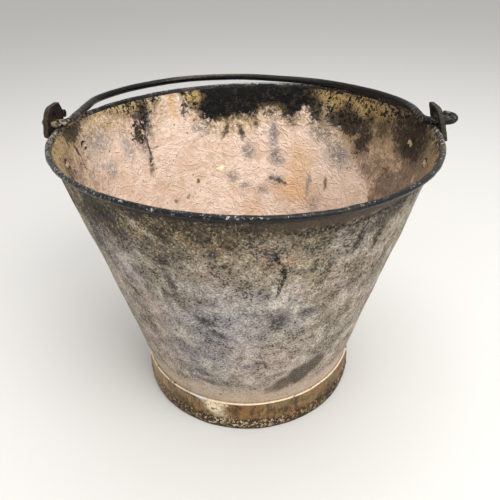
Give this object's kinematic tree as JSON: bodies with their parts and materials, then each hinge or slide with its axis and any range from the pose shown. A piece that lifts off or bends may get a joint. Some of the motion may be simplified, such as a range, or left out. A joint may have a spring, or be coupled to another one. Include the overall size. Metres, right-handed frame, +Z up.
{
  "type": "metal bucket",
  "caption": "Old conical sheet metal bucket with a rolled rim, a hooped foot, riveted iron ears and a swinging rod handle; rusty and sooty.",
  "frame": {"origin": "the middle of the box's bottom: the floor plane under the foot's hem, centred on the box that holds bucket and folded handle", "axes": "+Z up, X through both ears with the hook that lies wide on +X, the handle folded back towards +Y"},
  "size_m": [0.3328, 0.3152, 0.2557],
  "materials": {
    "weathered_sheet": "matt, pitted and stained",
    "rim_wire_steel": "blackened",
    "foot_metal": "dull, stained",
    "rusty_iron": "rough rust",
    "grey_iron": "rough, worn",
    "black_rod": "satin black with worn spots"
  },
  "bodies": {
    "bucket": {"bucket_wall": "weathered_sheet", "rim_wire": "rim_wire_steel", "base_plate": "weathered_sheet", "foot_ring": "foot_metal", "left_ear": "rusty_iron", "left_ear_rivet_1": "rusty_iron", "left_ear_rivet_2": "rusty_iron", "right_ear": "grey_iron", "right_ear_rivet_1": "rusty_iron", "right_ear_rivet_2": "rusty_iron"},
    "handle": {"bail_handle": "black_rod"}
  },
  "joints": [
    {"name": "bail_hinge", "type": "hinge", "parent": "bucket", "child": "handle", "pos_m": [0, -0.00498, 0.24155], "axis": [1, 0, 0], "range_deg": [0, 179]}
  ]
}
